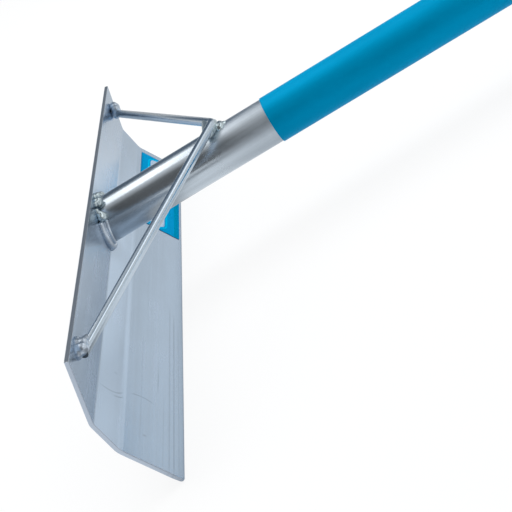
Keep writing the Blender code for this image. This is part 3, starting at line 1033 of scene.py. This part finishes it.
# The web behind the bend: rows of drops, each with its place along the handle and its half width
WEB_ROWS = ((0.0986, 0.0098), (0.1006, 0.0058), (0.1024, 0.0020))
WEB_RADIUS = 0.0040
WEB_HEIGHT = 0.0182
WEB_PITCH = 0.0026

# Each bead's rounds of smoothing, its roughness and the depth of its grain
FOOT_UPPER_BEAD = (26, 0.23, 0.03)
FOOT_LOWER_BEAD = (8, 0.30, 0.07)
LEG_BEAD = (22, 0.36, 0.06)
BEND_FRONT_BEAD = (20, 0.16, 0.03)
BEND_BACK_BEAD = (12, 0.34, 0.10)
# Painted light: the bead before the bend is a lighter copy of the dull weld
BEND_FRONT_LIGHT_TINT = 1.08


class RAKE_OT_welds(bpy.types.Operator):
    """Models the weld beads round the tube's foot, at the brace's two feet and at its bend"""

    bl_idname = "rake.welds"
    bl_label = "Welds"

    def execute(self, context):
        self.model_foot_welds()
        self.model_leg_weld("left", leg_ends()[0], LEFT_LEG_DROPS)
        self.model_leg_weld("right", leg_ends()[1], RIGHT_LEG_DROPS)
        self.model_bend_welds()
        return {"FINISHED"}

    def run_together(self, drops, bead, name, node, colour):
        """Runs drops of metal into one bead. Each has a centre, a radius, a way and its length along it."""
        smoothing, dullness, grain_depth = bead
        deselect()
        for number, (centre, radius, way, long) in enumerate(drops):
            if number:
                bpy.ops.mesh.select_all(action="DESELECT")
            bpy.ops.mesh.primitive_ico_sphere_add(
                subdivisions=3,
                radius=radius,
                location=centre,
                rotation=facing(way),
                scale=(1, 1, long),
            )
            if not number:
                apply_place()
                edit()
        done()
        metal = bpy.context.object
        take(metal)
        modify("REMESH", mode="VOXEL", voxel_size=WELD_VOXEL, adaptivity=0.0)
        modify("SMOOTH", factor=0.5, iterations=smoothing)
        finish = weld_finish(colour, dullness, grain_depth)
        keep(metal, name, node, finish, WELD_SMOOTH_DEGREES)

    def foot_drop(self, turn, off_tube, off_blade, radius, long):
        """A drop round the tube's foot, off both faces. It is on the tube's top at 90 degrees."""
        reach = sizes().tube_radius + off_tube
        z = reach * math.sin(turn)
        way = Vector((0, -math.sin(turn), math.cos(turn)))
        return Vector((face_x(z) + off_blade, reach * math.cos(turn), z)), radius, way, long

    def ring_drops(self, start, end, pitch, off_tube, off_blade, radius, long, wobble):
        """Drops at an even pitch round the foot."""
        chance = random.Random(WOBBLE_SEED)
        start = math.radians(start)
        end = math.radians(end)
        count = round((end - start) * sizes().tube_radius / pitch)
        places = []
        for step in range(count + 1):
            along = step / count
            tube_gap = off_tube[0] + (off_tube[1] - off_tube[0]) * along
            blade_gap = off_blade[0] + (off_blade[1] - off_blade[0]) * along
            size = radius + chance.uniform(-wobble, wobble)
            places.append(self.foot_drop(start + (end - start) * along, tube_gap, blade_gap, size, long))
        return places

    def model_foot_welds(self):
        """The upper run is lumpy. The lower one is smooth, with a second ridge beside it on the tube."""
        upper = [drop for run in FOOT_UPPER_RUNS for drop in self.ring_drops(*run)]
        for degrees, *shape in FOOT_LUMPS:
            upper.append(self.foot_drop(math.radians(degrees), *shape))
        degrees, *shape = FOOT_FLAT_DROP
        centre, radius, _way, long = self.foot_drop(math.radians(degrees), *shape)
        upper.append((centre, radius, FOOT_FLAT_WAY, long))
        dull = colours().dull_weld
        self.run_together(upper, FOOT_UPPER_BEAD, "foot_weld_upper", "tube_weld_upper", dull)
        lower = [drop for run in FOOT_LOWER_RUNS for drop in self.ring_drops(*run)]
        self.run_together(lower, FOOT_LOWER_BEAD, "foot_weld_lower", "tube_weld_lower", colours().weld)

    def model_leg_weld(self, side, end, shape):
        """The weld lies over the rod's end, on the side of the blade's top edge."""
        drop = (end - top_point(0, 0, 0)).dot(down(leans()[0]))
        inward = -math.copysign(1, end.y)
        places = []
        for along, above, out, radius, long in shape:
            point = top_point(drop - above, out, end.y + inward * along)
            places.append((point, radius, Vector((0, 1, 0)), long))
        self.run_together(places, LEG_BEAD, "leg_weld_" + side, "brace_weld_" + side, colours().weld)

    def model_bend_welds(self):
        """A bead before the bend, and a web that fills the corner between the legs behind it."""
        across = Vector((0, 1, 0))
        dull = colours().dull_weld
        bead = []
        for x, y, z, radius in BEND_FRONT_DROPS:
            bead.append((Vector((x, y, z)), radius, across, 1.0))
        # Painted light: the front bead gets a lighter copy of the dull weld than the web
        lit_dull_weld = tint(dull, BEND_FRONT_LIGHT_TINT)
        self.run_together(bead, BEND_FRONT_BEAD, "bend_weld_front", "apex_weld_front", lit_dull_weld)
        web = []
        for x, half in WEB_ROWS:
            count = round(2 * half / WEB_PITCH)
            for step in range(count + 1):
                y = -half + 2 * half * step / count
                web.append((Vector((x, y, WEB_HEIGHT)), WEB_RADIUS, across, 1.0))
        self.run_together(web, BEND_BACK_BEAD, "bend_weld_back", "apex_weld_back", dull)


LABEL_THICKNESS = 0.00014
LABEL_CORNER = 0.0015
LABEL_FROM_BEND = 0.0003


class RAKE_OT_label(bpy.types.Operator):
    """Models the sticker on the lower strip"""

    bl_idname = "rake.label"
    bl_label = "Label"

    def execute(self, context):
        lean = leans()[2]
        before = leans()[1]
        corner = back_corners()[2]
        arc = sizes().lower_bend + sizes().sheet
        both = front(before) + front(lean)
        centre = corner + both * (arc / (1 + front(before).dot(front(lean))))
        bend_end = centre - front(lean) * sizes().lower_bend
        across = LABEL_FROM_BEND + sizes().label_width / 2
        middle_y = sizes().blade_length / 2 - sizes().label_from_end - sizes().label_length / 2
        middle = bend_end + down(lean) * across + front(lean) * TOUCH_GAP / 2
        deselect()
        bpy.ops.mesh.primitive_plane_add(
            size=1, location=(middle.x, middle_y, middle.z), rotation=(0, math.pi / 2 - lean, 0)
        )
        label = context.object
        label.scale = (sizes().label_width, sizes().label_length, 1)
        apply_place()
        edit()
        bpy.ops.mesh.select_all(action="SELECT")
        bpy.ops.mesh.bevel(offset=LABEL_CORNER, segments=6, affect="VERTICES")
        done()
        modify("SOLIDIFY", thickness=LABEL_THICKNESS, offset=1.0)
        keep(label, "blade_sticker", "blade_label", label_finish(), smooth_degrees=40)
        return {"FINISHED"}


# Studio

CAMERA_PLACE = Vector((-0.50564, -0.92457, 0.35273))
CAMERA_AHEAD = Vector((-0.18139, 0.91631, -0.35703))
CAMERA_UP = Vector((0.52793, 0.39703, 0.75076))
CAMERA_LENS = 102.04
CAMERA_SENSOR = 36.0
CAMERA_SEES_TO = 50.0
FLOOR_RADIUS = 6.0
FLOOR_SIDES = 96
FLOOR_COLOUR = (0.86, 0.88, 0.90)
FLOOR_KEEPS_SHADOW = 0.12

# Lamps: place, point that they aim at, width, depth, power
KEY_LAMP = ((-1.66, 0.38, 1.70), (-1.66, 0.38, 0), 1.5, 1.08, 7.8)
FILL_LAMP = ((-0.3, 0.8, 2.1), (-0.3, 0, 0), 3.0, 2.0, 44.0)

# The floor in reflections: its colour, its share, and its brightness up to one place along Y and from another
CARD_COLOUR = (0.95, 0.98, 1.0)
CARD_SHARE = 0.75
CARD_ALONG_Y = (0.20, 0.50)
CARD_LEVELS = (0.87, 0.62)

# Brightness of the room by height of the view, from straight down (-1) to straight up (1)
ROOM_BEHIND = ((-1.0, 0.67), (0.08, 0.67), (0.15, 0.14), (0.70, 0.16), (0.84, 0.70), (1.0, 0.70))
ROOM_BEFORE = ((-1.0, 0.13), (0.80, 0.13), (0.95, 0.65), (1.0, 0.70))
ROOM_RIGHT = ((-1.0, 0.76), (0.50, 0.76), (0.58, 1.70), (0.66, 1.70), (0.73, 0.30), (1.0, 0.30))
ROOM_LEFT = 0.70

# Where these sides of the room begin and end, by the way of the view along Y and along X
BEFORE_TO_BEHIND = (-0.25, 0.25)
TO_RIGHT = (0.30, 0.55)
TO_LEFT = (-0.42, -0.62)

# The dark parts of the room behind are bluer
ROOM_DARK_LEVELS = (0.55, 0.15)
ROOM_DARK_COLOUR = (0.72, 0.96, 1.25)
ROOM_LIGHT_COLOUR = (0.97, 0.99, 1.0)

# Painted shade on the floor that only reflections show: the blade's and the tube's shadows under them and
# darker places beside them. Each has its start and end along X and Y, half of the soft edge, brightness
FLOOR_SHADE_PATCHES = (
    (-0.745, -0.40, -0.75, -0.175, 0.025, 0.08),
    (-0.90, -0.718, -0.24, 0.24, 0.006, 0.42),
    (-0.90, -0.58, 0.35, 0.80, 0.080, 0.52),
    (-0.67, -0.45, -0.065, 0.035, 0.015, 0.62),
)


class RAKE_OT_stage(bpy.types.Operator):
    """Builds the studio: a pale floor, soft lamps, a white surround and the camera"""

    bl_idname = "rake.stage"
    bl_label = "Studio"

    def execute(self, context):
        self.add_camera(context.scene)
        self.add_floor()
        self.add_lamps()
        self.add_surround(context.scene)
        context.scene.view_settings.view_transform = "Standard"
        return {"FINISHED"}

    def add_camera(self, scene):
        data = bpy.data.cameras.new("camera")
        data.lens = CAMERA_LENS
        data.sensor_width = CAMERA_SENSOR
        data.clip_end = CAMERA_SEES_TO
        camera = bpy.data.objects.new("camera", data)
        scene.collection.objects.link(camera)
        back = -CAMERA_AHEAD.normalized()
        right = CAMERA_UP.cross(back).normalized()
        up = back.cross(right)
        turned = Matrix((right, up, back)).transposed()
        camera.matrix_world = Matrix.Translation(CAMERA_PLACE) @ turned.to_4x4()
        scene.camera = camera

    def add_floor(self):
        """Pale, and white to the camera but for the shadow. Reflections show it dimmer in places, where shade
        is painted on it.
        """
        deselect()
        bpy.ops.mesh.primitive_circle_add(
            vertices=FLOOR_SIDES, radius=FLOOR_RADIUS, fill_type="NGON", location=(0, 0, 0)
        )
        floor = bpy.context.object
        floor.name = "studio_floor"
        material = bpy.data.materials.new("studio_floor")
        material.use_nodes = True
        nodes = Nodes(material.node_tree)
        place = nodes.split(nodes.node("TexCoord", {}).outputs["Object"])
        level = nodes.between(place["Y"], *CARD_ALONG_Y, *CARD_LEVELS)
        # Painted shade, which only reflections see
        for x_start, x_end, y_start, y_end, edge, shade in FLOOR_SHADE_PATCHES:
            inside = nodes.math(
                "MULTIPLY",
                self.between_ends(nodes, place["X"], x_start, x_end, edge),
                self.between_ends(nodes, place["Y"], y_start, y_end, edge),
            )
            level = nodes.mix(inside, level, shade)
        lit = nodes.node("BsdfDiffuse", {"Color": FLOOR_COLOUR}).outputs[0]
        white = nodes.node("Emission", {"Strength": 1.0}).outputs[0]
        card = nodes.node("Emission", {"Color": CARD_COLOUR, "Strength": level}).outputs[0]
        path = nodes.node("LightPath", {}).outputs
        seen = nodes.math("MULTIPLY", path["Is Camera Ray"], 1 - FLOOR_KEEPS_SHADOW)
        mirrored = nodes.math("MULTIPLY", path["Is Glossy Ray"], CARD_SHARE)
        surface = nodes.mix_shader(mirrored, nodes.mix_shader(seen, lit, white), card)
        nodes.node("OutputMaterial", {"Surface": surface})
        floor.data.materials.append(material)

    def between_ends(self, nodes, value, start, end, edge):
        """1 from start to end and 0 outside them, with soft edges."""
        rise = nodes.between(value, start - edge, start + edge)
        return nodes.math("MULTIPLY", rise, nodes.between(value, end + edge, end - edge))

    def add_lamps(self):
        """One soft box that shows in the metal, over the blade, and a wider one that only fills."""
        self.soft_box("key_box", *KEY_LAMP)
        fill = self.soft_box("fill_box", *FILL_LAMP)
        fill.visible_glossy = False

    def soft_box(self, name, place, aim, wide, deep, power):
        data = bpy.data.lights.new(name, "AREA")
        data.shape = "RECTANGLE"
        data.size = wide
        data.size_y = deep
        data.energy = power
        lamp = bpy.data.objects.new(name, data)
        bpy.context.scene.collection.objects.link(lamp)
        lamp.location = place
        lamp.rotation_euler = facing(Vector(place) - Vector(aim))
        return lamp

    def add_surround(self, scene):
        """White where the camera sees it. The object sees a room that is bright behind and dark before it."""
        world = bpy.data.worlds.new("studio_surround")
        scene.world = world
        world.use_nodes = True
        nodes = Nodes(world.node_tree)
        way = nodes.split(nodes.node("TexCoord", {}).outputs["Generated"])
        behind = nodes.steps(way["Z"], ROOM_BEHIND)
        before = nodes.steps(way["Z"], ROOM_BEFORE)
        is_behind = nodes.between(way["Y"], *BEFORE_TO_BEHIND)
        room = nodes.mix(is_behind, before, behind)
        room = nodes.mix(nodes.between(way["X"], *TO_RIGHT), room, nodes.steps(way["Z"], ROOM_RIGHT))
        room = nodes.mix(nodes.between(way["X"], *TO_LEFT), room, ROOM_LEFT)
        dark = nodes.math("MULTIPLY", nodes.between(room, *ROOM_DARK_LEVELS), is_behind)
        tone = nodes.blend(dark, ROOM_LIGHT_COLOUR, ROOM_DARK_COLOUR)
        path = nodes.node("LightPath", {}).outputs
        strength = nodes.mix(path["Is Camera Ray"], room, 1.0)
        seen = nodes.blend(path["Is Camera Ray"], tone, (1.0, 1.0, 1.0))
        background = nodes.node("Background", {"Color": seen, "Strength": strength}).outputs[0]
        nodes.node("OutputWorld", {"Surface": background})


class RAKE_PT_panel(bpy.types.Panel):
    """Lists the pieces and the studio"""

    bl_idname = "RAKE_PT_panel"
    bl_label = "Concrete Rake"
    bl_space_type = "VIEW_3D"
    bl_region_type = "UI"
    bl_category = "Rake"

    def draw(self, context):
        for operator in OPERATORS:
            self.layout.operator(operator.bl_idname)
        for group in (context.scene.rake_sizes, context.scene.rake_colours):
            column = self.layout.column()
            for name in group.__annotations__:
                column.prop(group, name)


OPERATORS = (
    RAKE_OT_blade,
    RAKE_OT_handle,
    RAKE_OT_plug,
    RAKE_OT_brace,
    RAKE_OT_welds,
    RAKE_OT_label,
    RAKE_OT_stage,
)
CLASSES = (RakeSizes, RakeColours, *OPERATORS, RAKE_PT_panel)


def register():
    for kind in CLASSES:
        bpy.utils.register_class(kind)
    bpy.types.Scene.rake_sizes = bpy.props.PointerProperty(type=RakeSizes)
    bpy.types.Scene.rake_colours = bpy.props.PointerProperty(type=RakeColours)


def unregister():
    del bpy.types.Scene.rake_sizes
    del bpy.types.Scene.rake_colours
    for kind in reversed(CLASSES):
        bpy.utils.unregister_class(kind)


def main():
    register()
    bpy.ops.rake.blade()
    bpy.ops.rake.handle()
    bpy.ops.rake.plug()
    bpy.ops.rake.brace()
    bpy.ops.rake.welds()
    bpy.ops.rake.label()
    bpy.ops.rake.stage()


if __name__ == "__main__":
    main()
